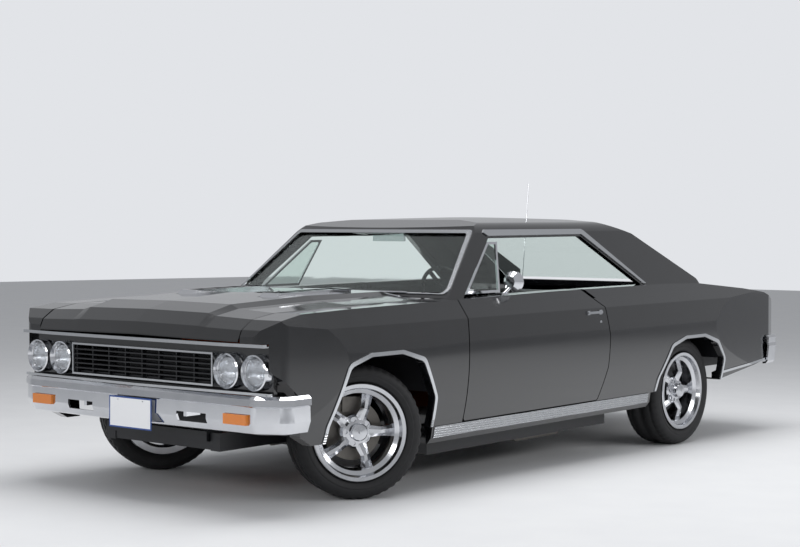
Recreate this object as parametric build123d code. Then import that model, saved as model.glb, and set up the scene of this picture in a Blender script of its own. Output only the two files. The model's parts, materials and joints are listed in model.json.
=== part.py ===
from build123d import *
import os

os.makedirs("parts", exist_ok=True)

# Two-door hardtop muscle car, millimetres. The front faces -Y, +X is the car's left and +Z is up. The origin is on the
# ground, on the symmetry plane, midway along the car. The body is drawn level and then raked nose down about the origin.

# Stance and wheels
rake_deg = 0.82
wheelbase = 2921.0
front_axle_y = -1680.0
rear_axle_y = front_axle_y + wheelbase
front_tyre_radius = 330.0
rear_tyre_radius = 336.0
front_tyre_width = 215.0
rear_tyre_width = 240.0
front_wheel_x = 735.0
rear_wheel_x = 752.0
kingpin_x = 690.0
rest_steer_deg = -30.0
rim_lip_radius = 241.0
rim_barrel_radius = 205.0
front_rim_width = 208.0
rear_rim_width = 232.0
spindle_radius = 30.0
bearing_gap = 0.5
disc_radius = 148.0
drum_radius = 140.0

# Body levels and widths, in the level frame
half_width = 953.0
crease_z = 884.0
belt_z = 989.0
sill_top_z = 346.0
sill_bottom_z = 288.0
body_bottom_z = 258.0
skin = 40.0
door_thickness = 92.0
sill_inner_x = 780.0
nose_y = -2482.0
tail_y = 2466.0

# Openings and gaps
panel_gap = 7.0
door_front_y = -1050.0
door_jamb_step = 22.0
hood_half_width = 715.0
hood_rear_y = -1130.0
hood_thickness = 26.0
lid_half_width = 640.0
lid_front_y = 1500.0
lid_rear_y = 2392.0
arch_radius = 392.0
arch_top_z = 716.0
moulding_width = 20.0
moulding_proud = 5.0

# Greenhouse
roof_wall = 34.0
roof_crown_z = 1402.0
drip_z = 1318.0
glass_thickness = 6.0
screen_base_y = -1052.0
screen_rise = 362.0
screen_run = 435.0
screen_bow = 78.0
tunnel_half_width = 548.0

# Front end
lamp_outer_x = 781.0
lamp_inner_x = 600.0
lamp_z = 694.0
bezel_radius = 85.0
lens_radius = 71.0
grille_half_width = 500.0
grille_bottom_z = 626.0
grille_top_z = 766.0
grille_bars = 6
grille_posts = 9
nose_panel_y = -2400.0
bumper_top_z = 590.0
bumper_bottom_z = 410.0
bumper_face_y = -2500.0
bumper_wall = 10.0

FULL = 1200.0


def side_prism(outline, x0, x1):
    """A side outline, drawn as (y, z), carried across the car from x0 to x1."""
    return Pos(x0, 0, 0) * extrude(Plane.YZ * make_face(outline), amount=x1 - x0)


def section_prism(outline, y0, y1):
    """A cross-section, drawn as (x, z), carried along the car from y0 to y1."""
    return Pos(0, y1, 0) * extrude(Plane.XZ * make_face(outline), amount=y1 - y0)


def plan_prism(outline, z0, z1):
    """A plan outline, drawn as (x, y), carried up from z0 to z1."""
    return Pos(0, 0, z0) * extrude(make_face(outline), amount=z1 - z0)


def block(x0, x1, y0, y1, z0, z1):
    """A box between named planes."""
    return Pos((x0 + x1) / 2, (y0 + y1) / 2, (z0 + z1) / 2) * Box(x1 - x0, y1 - y0, z1 - z0)


def both_sides(shape):
    """The shape and its mirror image on the other side of the car."""
    return Compound(list(shape.solids()) + list(mirror(shape, Plane.YZ).solids()))


def rod(start, end, radius):
    """A round bar from one point to another."""
    a = Vector(*start)
    b = Vector(*end)
    return Plane(origin=a, z_dir=b - a) * Cylinder(radius, (b - a).length, align=(Align.CENTER, Align.CENTER, Align.MIN))


def closed(points, radius):
    """A closed outline with every corner rounded."""
    return FilletPolyline(*points, radius=radius, close=True)


def raked(shape):
    """Leans a level-built body piece to its nose-down stance."""
    return Rot(X=rake_deg) * shape


written = {}


def save(name, shape):
    """Writes one node's solids."""
    solids = list(shape.solids()) if not isinstance(shape, list) else [s for part in shape for s in part.solids()]
    written[name] = solids
    export_step(Compound(solids), f"parts/{name}.step")


# Body hull: a side outline, a plan outline and a cross-section that cross each other
def hull(grow):
    """The outside form of the lower body, grown or shrunk by a wall."""
    left = [
        (half_width - 133, 1060),
        (half_width - 53, crease_z + 61),
        (half_width - 9, crease_z),
    ]
    lower = [
        (half_width - 47, sill_top_z),
        (half_width - 57, sill_bottom_z),
        (half_width - 81, body_bottom_z),
    ]
    side_arc = ThreePointArc(left[2], (half_width, 640), lower[0])
    right = [(-x, z) for x, z in left]
    right_lower = [(-x, z) for x, z in lower]
    right_arc = ThreePointArc(right_lower[0], (-half_width, 640), right[2])
    section = Wire(
        [
            *Polyline(*left).edges(),
            side_arc,
            *Polyline(*lower).edges(),
            Line(lower[2], right_lower[2]),
            *Polyline(*right_lower[::-1]).edges(),
            right_arc,
            *Polyline(*right[::-1]).edges(),
            Line(right[0], left[0]),
        ]
    )
    side = closed(
        [
            (-2286, 572),
            (-2418, 689),
            (nose_y + 6, 800),
            (nose_y, 836),
            (-2456, 890),
            (-2390, 934),
            (-2240, 957),
            (-1900, 966),
            (-1000, 978),
            (-200, belt_z),
            (1000, 992),
            (1420, 984),
            (1945, 935),
            (2225, 899),
            (2400, 848),
            (2450, 806),
            (2462, 650),
            (2390, 470),
            (1560, 354),
            (1480, body_bottom_z),
            (-2040, body_bottom_z),
            (-2286, 395),
        ],
        14,
    )
    plan = closed(
        [
            (0, nose_y),
            (820, nose_y + 12),
            (924, nose_y + 100),
            (half_width + 8, -1900),
            (half_width + 8, 1400),
            (912, 2300),
            (860, tail_y - 16),
            (0, tail_y),
            (-860, tail_y - 16),
            (-912, 2300),
            (-half_width - 8, 1400),
            (-half_width - 8, -1900),
            (-924, nose_y + 100),
            (-820, nose_y + 12),
        ],
        60,
    )
    faces = [make_face(w) for w in (section, side, plan)]
    if grow:
        faces = [offset(f, amount=grow, kind=Kind.INTERSECTION) for f in faces]
    across = Pos(0, 2600, 0) * extrude(Plane.XZ * faces[0], amount=5200)
    along = Pos(-FULL, 0, 0) * extrude(Plane.YZ * faces[1], amount=2 * FULL)
    upward = extrude(faces[2], amount=FULL + 200)
    return across & along & upward


outer_hull = hull(0)
thin_cavity = hull(-skin)
thick_cavity = hull(-door_thickness)
proud_hull = hull(moulding_proud)

# Nothing closes the body's underside or the inside of its ends: the cavities run down through the floor
under_open = block(-half_width + 100, half_width - 100, -2440, 2420, 0, 600)
thin_shell = outer_hull - thin_cavity - under_open
thick_shell = outer_hull - thick_cavity - under_open

# Wheel openings, flat-topped and wider than round, as seen from the side in the level frame


def arch_outline(axle_y, top, grow):
    """The wheel opening's outline, from below the sill over the top and down again."""
    reach = arch_radius + grow
    return FilletPolyline(
        (axle_y - reach - 30, 100),
        (axle_y - reach + 10, 430),
        (axle_y - reach * 0.66, top - 42 + grow),
        (axle_y - reach * 0.28, top + grow),
        (axle_y + reach * 0.30, top + grow),
        (axle_y + reach * 0.72, top - 48 + grow),
        (axle_y + reach - 2, 500),
        (axle_y + reach, 100),
        radius=55,
        close=True,
    )


front_arch_y = front_axle_y - 30
rear_arch_y = rear_axle_y + 6
arch_cuts = [
    side_prism(arch_outline(front_arch_y, arch_top_z + 20, 0), -FULL, FULL),
    side_prism(arch_outline(rear_arch_y, arch_top_z - 62, -2), -FULL, FULL),
]
tyre_room = [
    both_sides((Pos(kingpin_x, front_axle_y, 0) * Cylinder(388, 740, align=(Align.CENTER, Align.CENTER, Align.MIN)))
               & block(300, 908, -2200, -1100, 0, 740)),
    both_sides(block(rear_wheel_x - 160, 908, rear_arch_y - 385, rear_arch_y + 385, 0, arch_top_z - 26)),
]

# Door outline, as seen from the side: a straight front cut at the hinges and a curved rear cut
door_outline = [
    (door_front_y, sill_top_z + panel_gap),
    (door_front_y, 1200),
    (60, 1200),
    (84, belt_z + 8),
    (236, crease_z),
    (276, 720),
    (270, 540),
    (206, sill_top_z + panel_gap),
]


def door_prism(grow, x0, x1):
    """The door's region, grown all round by a gap."""
    face = offset(make_face(closed(door_outline, 20)), amount=grow, kind=Kind.INTERSECTION) if grow else make_face(
        closed(door_outline, 20)
    )
    return Pos(x0, 0, 0) * extrude(Plane.YZ * face, amount=x1 - x0)


door_gap_cut = door_prism(panel_gap, -FULL, FULL) + door_prism(door_jamb_step, -905, 905)
hood_cut = block(-hood_half_width - panel_gap, hood_half_width + panel_gap, -2600, hood_rear_y + 8, 829, 1200)
lid_cut = block(-lid_half_width - panel_gap, lid_half_width + panel_gap, lid_front_y - 8, lid_rear_y + 8, 700, 1200)
cabin_cut = block(-768, 768, hood_rear_y + 8, 1318, 300, 1200)
front_face_cut = block(-866, 866, -2600, -2360, 300, 829)

# Front fenders: one each side, from the lamp corner to the door
fender_zone = block(400, FULL, -2600, door_front_y - panel_gap, sill_top_z, 1200)
fender = (thin_shell & fender_zone) - hood_cut - front_face_cut
for cut in arch_cuts + tyre_room:
    fender = fender - cut
fender = fender - block(0, 760, -2440, -1000, 0, 900) - cabin_cut
fender_left = fender.solids().sort_by(SortBy.VOLUME)[-1]
save("front_fenders", raked(both_sides(fender_left)))

# Rear quarters, tail panel and the deck's side flanges, one welded shell
quarter = (thin_shell & block(-FULL, FULL, 60, 2600, sill_top_z, 1200)) - door_gap_cut - lid_cut - cabin_cut
for cut in arch_cuts + tyre_room:
    quarter = quarter - cut
tail_recess = both_sides(block(560, 840, 2440, 2600, 640, 760))
quarter = quarter - tail_recess
quarter = quarter.solids().sort_by(SortBy.VOLUME)[-1]
save("rear_quarters", raked(quarter))

# Door sills under the doors, and the trim that is laid on the body side
sill = (outer_hull & block(sill_inner_x, FULL, -1300, 800, 0, sill_top_z)) - arch_cuts[0] - arch_cuts[1]
save("sills", raked(both_sides(sill.solids().sort_by(SortBy.VOLUME)[-1])))

skin_strip = proud_hull - outer_hull


def strip(prism):
    """The part of the raised trim layer inside a side outline, on the left and the right."""
    piece = skin_strip & prism & block(700, FULL, -2600, 2600, 0, 1200)
    return both_sides(Compound([s for s in piece.solids() if s.volume > 500]))


def arch_ring(axle_y, top):
    """A band that follows a wheel opening."""
    wide = side_prism(arch_outline(axle_y, top, moulding_width), 0, FULL)
    return wide - side_prism(arch_outline(axle_y, top, 0.5), 0, FULL) - block(0, FULL, -3000, 3000, 0, sill_top_z + 1)


arch_trim = [strip(arch_ring(front_arch_y, arch_top_z + 20)), strip(arch_ring(rear_arch_y, arch_top_z - 64))]
rocker_trim = strip(block(0, FULL, -1285, 770, sill_bottom_z, sill_top_z - 1) - side_prism(
    arch_outline(rear_arch_y, arch_top_z - 64, moulding_width + 2), 0, FULL))
tail_trim = strip(
    side_prism(Polyline((1640, 400), (2236, 446), (2236, 462), (1640, 416), close=True), 0, FULL)
)
save("side_mouldings", raked(Compound([s for g in arch_trim + [rocker_trim, tail_trim] for s in g.solids()])))

firewall_y = -974.0

# Floor, tunnel, seat step, trunk floor and the wheelhouses, pressed steel
tunnel_outline = closed([(-150, 240), (-105, 400), (105, 400), (150, 240)], 30)
tunnel = section_prism(tunnel_outline, firewall_y, 830) - block(-200, 200, -1200, 900, 200, 262)
floor = block(-779, 779, firewall_y, 555, 262, 276) + block(-530, 530, 550, 720, 262, 276) + tunnel
floor = floor + side_prism(Polyline((700, 262), (720, 262), (812, 500), (792, 500), close=True), -470, 470)
floor = floor + block(-560, 560, 790, 2380, 486, 500)
tunnel_room = section_prism(closed([(-138, 200), (-96, 386), (96, 386), (138, 200)], 25), -1200, 900)
floor = floor - tunnel_room
save("floor_pan", raked(floor.solids().sort_by(SortBy.VOLUME)[-1]))

front_house = side_prism(
    FilletPolyline(
        (front_axle_y - 412, 470), (front_axle_y - 300, 752), (front_axle_y + 300, 752), (front_axle_y + 412, 470),
        radius=90,
    ).edges() + [Line((front_axle_y + 412, 470), (front_axle_y - 412, 470))], 428, 896)
front_room = side_prism(
    FilletPolyline(
        (front_axle_y - 400, 460), (front_axle_y - 293, 742), (front_axle_y + 293, 742), (front_axle_y + 400, 460),
        radius=84,
    ).edges() + [Line((front_axle_y + 400, 460), (front_axle_y - 400, 460))], 438, 900)
front_house = (front_house - front_room) & block(420, 896, -2100, -1250, 522, 800)
front_house = front_house & thin_cavity
save("wheelhouses", [
    raked(both_sides(front_house.solids().sort_by(SortBy.VOLUME)[-1])),
    raked(both_sides(((block(575, 905, rear_arch_y - 398, rear_arch_y + 398, 500.5, arch_top_z - 14)
                       - block(585, 910, rear_arch_y - 388, rear_arch_y + 388, 400, arch_top_z - 24)) & thin_cavity)
                     .solids().sort_by(SortBy.VOLUME)[-1])),
])

# Cowl panel under the windscreen with its firewall
cowl = block(-766, 766, hood_rear_y + 12, -925, 948, 975)
cowl = cowl + block(-766, 766, firewall_y - 10, firewall_y, 276.5, 950) - tunnel_room
cowl = cowl + block(-766, 766, -935, -925, 900, 950)
for n in range(-6, 7):
    cowl = cowl - Pos(n * 85, -1062, 975) * Box(60, 12, 14)
save("cowl_firewall", raked(cowl))

# Greenhouse: roof, windscreen pillars and sail panels in one pressing
def greenhouse(grow):
    """The outside form of the roof and pillars."""
    section = Wire(
        [
            Line((812, 900), (662, drip_z)),
            ThreePointArc((662, drip_z), (630, 1352), (560, 1374)),
            ThreePointArc((560, 1374), (0, roof_crown_z), (-560, 1374)),
            ThreePointArc((-560, 1374), (-630, 1352), (-662, drip_z)),
            Line((-662, drip_z), (-812, 900)),
            Line((-812, 900), (812, 900)),
        ]
    )
    side = closed(
        [(-1300, 900), (-640, 1344), (-430, 1388), (120, roof_crown_z), (610, 1386), (960, 1300), (1800, 900)],
        60,
    )
    front = Wire(
        [
            ThreePointArc((-900, screen_base_y + screen_bow), (0, screen_base_y), (900, screen_base_y + screen_bow)),
            Line((900, screen_base_y + screen_bow), (900, 3000)),
            Line((900, 3000), (-900, 3000)),
            Line((-900, 3000), (-900, screen_base_y + screen_bow)),
        ]
    )
    faces = [make_face(w) for w in (section, side, front)]
    if grow:
        faces = [offset(f, amount=grow, kind=Kind.INTERSECTION) for f in faces]
    across = Pos(0, 2600, 0) * extrude(Plane.XZ * faces[0], amount=5200)
    along = Pos(-FULL, 0, 0) * extrude(Plane.YZ * faces[1], amount=2 * FULL)
    lean = Vector(0, screen_run, screen_rise).normalized()
    base = Pos(0, -screen_run * 0.5, 1000 - screen_rise * 0.5) * faces[2]
    slanted = extrude(base, amount=1100, dir=lean)
    return across & along & slanted


green_outer = greenhouse(0)
green_inner = greenhouse(-roof_wall)
glass_line = [(752, 1352), (1306, 984)]
below_glass = side_prism(
    Polyline((-1300, 880), (-1300, 1400), (700, 1400), glass_line[0], glass_line[1], (1306, 880), close=True), -FULL, FULL)
cabin_room = green_inner & below_glass
behind_glass = side_prism(
    Polyline((glass_line[0][0] + 18, glass_line[0][1] + 28), (1324, 993), (1324, 880), (2600, 880), (2600, 1500),
             (glass_line[0][0] + 18, 1500), close=True), -tunnel_half_width, tunnel_half_width)
window_hole = side_prism(
    closed([(-905, 960), (-520, 1286), (388, 1288), (905, 985), (925, 940), (-905, 940)], 6), -FULL, FULL)
screen_hole = section_prism(closed([(-752, 1004), (-622, 1316), (622, 1316), (752, 1004)], 25), -1400, -440)
back_hole = block(-tunnel_half_width + 30, tunnel_half_width - 30, 700, 1400, 900, 1500) & side_prism(
    Polyline((790, 1250), (790, 1600), (1600, 1000), (1290, 960), close=True), -FULL, FULL)
body_below = side_prism(
    closed([(-1500, 972), (-1000, 978), (-200, belt_z), (1000, 992), (1420, 984), (1945, 935), (1945, 500), (-1500, 500)],
           5), -FULL, FULL)
roof = green_outer - cabin_room - behind_glass - window_hole - screen_hole - back_hole - body_below
roof = roof - block(-lid_half_width - 8, lid_half_width + 8, lid_front_y - 10, 2200, 800, 1400)
roof = roof.solids().sort_by(SortBy.VOLUME)[-1]
save("roof", raked(roof))

# Windscreen, bowed, set in the pillars, and the flat rear glass at the bottom of its tunnel
screen_layer = greenhouse(-12) - greenhouse(-12 - glass_thickness)
screen = screen_layer & section_prism(closed([(-750, 1006), (-620.5, 1314), (620.5, 1314), (750, 1006)], 24), -1400, -440)
screen = screen.solids().sort_by(SortBy.VOLUME)[-1]
save("windscreen", raked(screen))
back_glass = side_prism(
    Polyline((796, 1324), (1276, 1005.2), (1279.3, 1010.2), (799.3, 1329), close=True),
    -tunnel_half_width + 31, tunnel_half_width - 31)
save("rear_glass", raked(back_glass))

# Drip rails over the side windows and the bright frame round the windscreen
green_proud = greenhouse(7)
rail_layer = green_proud - green_outer
rail_band = side_prism(
    Polyline((-556, 1318), (-520, 1300), (396, 1302), (916, 998), (946, 998), (424, 1326), (410, 1332), (-540, 1334),
             close=True), 0, FULL)
drip = rail_layer & rail_band & block(560, FULL, -700, 1100, 998, 1400)
screen_band = section_prism(closed([(-771, 1000), (-640, 1334), (640, 1334), (771, 1000)], 25), -1400, -440)
screen_frame = (rail_layer & (screen_band - screen_hole)) & block(-FULL, FULL, -1400, -440, 1000, 1500)
frame_solids = [s for s in screen_frame.solids() if s.volume > 2000]
frame_solids = [s - block(-FULL, FULL, -556, 0, 1250, 1500) for s in frame_solids]
save("window_frames", [raked(both_sides(drip.solids().sort_by(SortBy.VOLUME)[-1]))] + [raked(s) for s in frame_solids])

# Doors: whole thickness, with the dropped glass's slot at the belt
door = thick_shell & door_prism(0, 0, FULL)
door = door & block(772, FULL, -1100, 400, 300, 1200)
door = door - section_prism(closed([(812, 760), (812, 1100), (822, 1100), (822, 760)], 2), -880, 60)
door = door.solids().sort_by(SortBy.VOLUME)[-1]
vent_post = [(-862, belt_z - 6), (-516, 1276), (-405, 1276), (-515, belt_z - 6)]


def vent_frame(grow):
    """The quarter-light frame ahead of the door glass, leaning in with the pillar."""
    face = offset(make_face(Polyline(*vent_post, close=True)), amount=grow, kind=Kind.INTERSECTION)
    return extrude(Plane.YZ * face, amount=FULL)


vent_layer = greenhouse(-20) - greenhouse(-32)
vent_glass_layer = greenhouse(-24) - greenhouse(-28)
vent_bar = (vent_layer & (vent_frame(-10) - vent_frame(-24))) & block(500, FULL, -1000, -300, belt_z + 1, 1300)
vent_pane = (vent_glass_layer & vent_frame(-24.5)) & block(500, FULL, -1000, -300, belt_z + 1, 1300)
vent_bar = vent_bar.solids().sort_by(SortBy.VOLUME)[-1]
vent_pane = vent_pane.solids().sort_by(SortBy.VOLUME)[-1]
handle_z = crease_z - 24
handle = Pos(951, 118, handle_z) * Box(16, 150, 14)
handle = handle + Pos(944, 55, handle_z) * Box(20, 26, 24) + Pos(944, 178, handle_z) * Box(20, 30, 26)
handle = handle - outer_hull
handle = handle + (Pos(946, 184, handle_z - 58) * Rot(Y=90) * Cylinder(11, 12) - outer_hull)
mirror_y = -600.0
mirror_head = Pos(888, mirror_y + 24, belt_z + 66) * Rot(X=90) * (
    Cylinder(56, 26) + Pos(0, 0, 13) * Cone(56, 30, 22, align=(Align.CENTER, Align.CENTER, Align.MIN)))
mirror_arm = rod((862, mirror_y - 40, belt_z - 2), (884, mirror_y + 4, belt_z + 40), 8) + (
    Pos(858, mirror_y - 44, belt_z + 3) * Box(46, 62, 12))
side_mirror = (mirror_head + mirror_arm) - outer_hull
for side_name, flip in (("left", False), ("right", True)):
    pieces = {
        "door_" + side_name: door,
        "vent_glass_" + side_name: vent_pane,
        "door_fittings_" + side_name: Compound(
            list(handle.solids()) + [vent_bar] + ([] if flip else list(side_mirror.solids()))),
    }
    for node, piece in pieces.items():
        save(node, raked(mirror(piece, Plane.YZ) if flip else piece))

# Hood: a ruled panel with a raised centre, cut for two louvres
# columns: y, edge height, crown height above the edge, centre rise, thickness
hood_sections = [
    (-2478.0, 840.0, 2.0, 0.0, 6.0),
    (-2456.0, 888.0, 5.0, 4.0, hood_thickness),
    (-2385.0, 934.0, 8.0, 12.0, hood_thickness),
    (-2240.0, 957.0, 12.0, 20.0, hood_thickness),
    (-1700.0, 970.0, 16.0, 24.0, hood_thickness),
    (hood_rear_y, 976.0, 14.0, 20.0, hood_thickness),
]
louvre_x = 300.0
louvre_y = (-1890.0, -1300.0)
louvre_half = 62.0


def hood_wire(y, edge, crown, rise, thick):
    """One cross-section of the hood, edge to edge over the top and back underneath."""
    top = [
        (-hood_half_width, edge),
        (-480, edge + crown),
        (-430, edge + crown + rise),
        (0, edge + crown + rise + 5),
        (430, edge + crown + rise),
        (480, edge + crown),
        (hood_half_width, edge),
    ]
    under = [(x, z - thick) for x, z in reversed(top)]
    return Plane.XZ.offset(-y) * make_face(Polyline(*top, *under, close=True))


hood = loft([hood_wire(*row) for row in hood_sections], ruled=True)
hood = hood - both_sides(Pos(louvre_x, (louvre_y[0] + louvre_y[1]) / 2, 1000) * Box(
    2 * louvre_half - 16, louvre_y[1] - louvre_y[0] - 16, 120))
save("hood", raked(hood))
louvre = block(louvre_x - louvre_half, louvre_x + louvre_half, louvre_y[0], louvre_y[1], 984, 1034)
louvre = louvre & side_prism(Polyline((louvre_y[0], 984), (louvre_y[0] + 60, 1024), (louvre_y[1], 1032), (louvre_y[1], 984),
                                      close=True), 0, FULL)
cell_length = (louvre_y[1] - louvre_y[0] - 100) / 4
for n in range(4):
    cell_y = louvre_y[0] + 82 + cell_length * (n + 0.5)
    louvre = louvre - Pos(louvre_x, cell_y, 1018) * Box(2 * louvre_half - 24, cell_length - 22, 60)
louvre = louvre - hood
louvre = louvre.solids().sort_by(SortBy.VOLUME)[-1]
save("hood_louvres", raked(both_sides(louvre)))

# Trunk lid, following the deck's fall
lid = side_prism(
    closed([(lid_front_y, 979), (1945, 938), (2225, 902), (lid_rear_y, 854), (lid_rear_y, 826), (2220, 870),
            (1945, 906), (lid_front_y, 948)], 4), -lid_half_width, lid_half_width)
save("trunk_lid", raked(lid))

# Nose panel behind the lamps, open for the grille
nose = block(-866, 866, nose_panel_y, nose_panel_y + 24, 592, 812)
nose = nose - block(-grille_half_width, grille_half_width, -2600, -2300, grille_bottom_z, grille_top_z)
for x in (lamp_outer_x, lamp_inner_x, -lamp_inner_x, -lamp_outer_x):
    nose = nose - Pos(x, -2390, lamp_z) * Rot(X=90) * Cylinder(lens_radius - 8, 80)
save("nose_panel", raked(nose))

# Grille: fine horizontal bars on posts, inside a bright border
bar_pitch = (grille_top_z - grille_bottom_z) / grille_bars
grille = block(-grille_half_width + 1, grille_half_width - 1, -2404, -2398, grille_bottom_z + 1, grille_bottom_z + 7)
for n in range(1, grille_bars):
    z = grille_bottom_z + n * bar_pitch
    bar = side_prism(Polyline((-2432, z - 3), (-2432, z + 3), (-2396, z + 5), (-2396, z - 5), close=True),
                     -grille_half_width + 1, grille_half_width - 1)
    grille = grille + bar
for n in range(grille_posts):
    x = (n - (grille_posts - 1) / 2) * (2 * grille_half_width - 20) / (grille_posts - 1)
    grille = grille + block(x - 3, x + 3, -2424, -2398, grille_bottom_z + 1, grille_top_z - 1)
save("grille", raked(grille))


def border(half, bottom, top, y, depth, width):
    """A rectangular bright frame that faces forward."""
    return block(-half - width, half + width, y, y + depth, bottom - width, top + width) - block(
        -half, half, y - 1, y + depth + 1, bottom, top)


brow = plan_prism(
    Polyline((-868, -2466), (-600, -2487), (0, -2494), (600, -2487), (868, -2466), (868, -2446), (600, -2466),
             (0, -2473), (-600, -2466), (-868, -2446), close=True), 812.5, 828)
brow_back = block(-866, 866, -2460, -2377, 812.2, 818)
chin = plan_prism(
    Polyline((-880, -2440), (0, -2474), (880, -2440), (880, -2424), (0, -2456), (-880, -2424), close=True), 592, 604)
chin = chin + block(-860, 860, -2445, nose_panel_y - 0.3, 592, 599)
surround = border(grille_half_width, grille_bottom_z, grille_top_z, -2440, 39.7, 9)
save("front_mouldings", [raked(brow + brow_back), raked(chin - nose), raked(surround - nose)])

# Headlamps: four bright bezels, each round a domed lens
bezel_profile = Polyline(
    (lens_radius - 7, 0), (bezel_radius - 3, 0), (bezel_radius, 10), (bezel_radius - 2, 44), (bezel_radius - 8, 48),
    (lens_radius - 2, 30), (lens_radius - 7, 22), close=True)
bezel = revolve(Plane.XZ * make_face(bezel_profile), Axis.Z)
lens = revolve(
    Plane.XZ * make_face(Polyline(
        (0, 0), (lens_radius - 8, 0), (lens_radius - 8, 26), (48, 33), (24, 38), (0, 40), close=True)), Axis.Z)
lamp_places = [Pos(x, nose_panel_y - 0.2, lamp_z) * Rot(X=90) for x in
               (lamp_outer_x, lamp_inner_x, -lamp_inner_x, -lamp_outer_x)]
save("headlamp_bezels", [raked(place * bezel) for place in lamp_places])
save("headlamp_lenses", [raked(place * (Pos(0, 0, 0.5) * lens)) for place in lamp_places])


# Bumpers: pressed channels, swept round the corners
def bumper(path_points, corner, outer, inner):
    """A channel section swept along the bumper's plan line."""
    path = FilletPolyline(*path_points, radius=corner)
    start = path @ 0
    along = path % 0
    face = Polyline(*outer, close=True)
    hollow = Polyline(*inner, close=True)
    plane = Plane(origin=(start.X, start.Y, 0), x_dir=along.cross(Vector(0, 0, 1)), z_dir=along * -1)
    flat = make_face(face) - make_face(hollow)
    return sweep(plane * flat, path=path)


wrap = half_width + 3
front_path = [(-wrap, -2245, 0), (-wrap + 4, -2392, 0), (-800, -2474, 0), (0, bumper_face_y + 4, 0), (800, -2474, 0),
              (wrap - 4, -2392, 0), (wrap, -2245, 0)]
front_outer = [(-46, bumper_top_z), (-16, bumper_top_z), (0, bumper_top_z - 14), (2, 545), (-8, 538), (-6, 470),
               (-26, bumper_bottom_z + 8), (-52, bumper_bottom_z)]
front_inner = [(-60, bumper_top_z - bumper_wall), (-22, bumper_top_z - bumper_wall), (-11, bumper_top_z - 20), (-10, 548),
               (-19, 536), (-17, 472), (-34, bumper_bottom_z + 16), (-60, bumper_bottom_z + 10)]
front_bumper = bumper(front_path, 75, front_outer, front_inner)
slot_x = (305.0, 500.0)
slot_z = (446.0, 492.0)
lamp_x = (622.0, 772.0)
lamp_slot_z = (456.0, 506.0)
for x0, x1, z0, z1 in ((slot_x[0], slot_x[1], *slot_z), (lamp_x[0], lamp_x[1], *lamp_slot_z)):
    front_bumper = front_bumper - both_sides(block(x0, x1, -2600, -2440, z0, z1))
front_bumper = front_bumper - proud_hull
bumper_irons = both_sides(block(352, 372, -2478, -2390, 470, 540))
save("front_bumper", [raked(front_bumper), raked(bumper_irons)])
amber = both_sides(block(lamp_x[0] + 1, lamp_x[1] - 1, -2486, -2452, lamp_slot_z[0] + 1, lamp_slot_z[1] - 1))
save("parking_lamps", raked(amber))
rear_path = [(wrap - 14, 2246, 0), (wrap - 22, 2388, 0), (780, 2480, 0), (0, 2506, 0), (-780, 2480, 0),
             (-wrap + 22, 2388, 0), (-wrap + 14, 2246, 0)]
rear_outer = [(-44, 612), (-12, 612), (2, 596), (-2, 560), (2, 540), (-8, 440), (-20, 424), (-44, 420)]
rear_inner = [(-60, 602), (-18, 602), (-9, 592), (-13, 560), (-9, 540), (-18, 444), (-26, 434), (-60, 430)]
rear_bumper = bumper(rear_path, 75, rear_outer, rear_inner) - proud_hull
save("rear_bumper", [raked(rear_bumper), raked(both_sides(block(400, 420, 2427, 2474, 500, 560)))])
save("tail_lamps", raked(both_sides(block(561, 839, 2441, 2468, 641, 759))))

plate_width = 305.0
plate_height = 152.0
plate = block(-plate_width / 2, plate_width / 2, 0, 3, -plate_height / 2, plate_height / 2)
plate_hole_x = 89.0
for x in (-plate_hole_x, plate_hole_x):
    plate = plate - Pos(x, 0, plate_height / 2 - 16) * Rot(X=90) * Cylinder(3.5, 20)
save("front_plate", Pos(0, -2509, 426) * plate)

# Under the hood and along the middle: engine, radiator, gearbox and shaft
engine = block(-210, 210, -1950, -1330, 330, 620) + section_prism(
    closed([(-130, 600), (-300, 790), (-190, 850), (190, 850), (300, 790), (130, 600)], 20), -1900, -1380)
engine = engine + Pos(0, -1640, 850) * Cylinder(170, 70, align=(Align.CENTER, Align.CENTER, Align.MIN))
gearbox = section_prism(closed([(-88, 300), (-88, 376), (88, 376), (88, 300), (60, 250), (-60, 250)], 15), -1329.7, -700)
save("engine", raked(engine))
save("radiator", raked(block(-340, 340, -2290, -2225, 340, 800) + block(-340, 340, -2320, -2290, 332, 380)))
save("gearbox_shaft", raked(gearbox + rod((0, -705, 312), (0, 1088, 316), 36)))

# Frame: two side rails that narrow between the front wheels and climb over the rear axle, with crossmembers
rail_width = 64.0
rail_height = 88.0
# columns: x, y, z of the rail's middle
rail_points = [(378, -2300, 330), (378, -1420, 330), (700, -1130, 214), (700, 560, 214), (506, 840, 436), (506, 2360, 436)]
rail_path = Polyline(*rail_points)
rail = None
for a, b in zip(rail_points, rail_points[1:]):
    run = [
        Plane.XZ.offset(-p[1]) * (Pos(p[0], p[2]) * Rectangle(rail_width, rail_height)) for p in (a, b)
    ]
    piece = loft(run, ruled=True)
    rail = piece if rail is None else rail + piece
rails = both_sides(rail)
members = [
    block(-378, 378, -1760, -1610, 256, 318),
    block(-378, 378, -2296, -2226, 290, 328),
    block(-700, 700, -690, -620, 172, 220),
    block(-506, 506, 2250, 2330, 396, 440),
    block(-506, 506, 860, 930, 396, 440),
]
chassis = rails.solids()[0] + rails.solids()[1]
for member in members:
    chassis = chassis + member
save("chassis_frame", raked(chassis.solids().sort_by(SortBy.VOLUME)[-1]))

# Exhaust, fuel tank and rear springs
muffler = side_prism(closed([(-40, 104), (-40, 170), (420, 170), (420, 104)], 25), 330, 500)
pipe = rod((420, -1100, 141), (420, -35, 137), 26) + muffler + rod((420, 415, 137), (420, 760, 206), 26)
save("exhaust", raked(both_sides(pipe.solids().sort_by(SortBy.VOLUME)[-1])))
save("fuel_tank", raked(side_prism(closed([(1760, 300), (1790, 482), (2240, 482), (2240, 300)], 25), -430, 430)))


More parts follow.
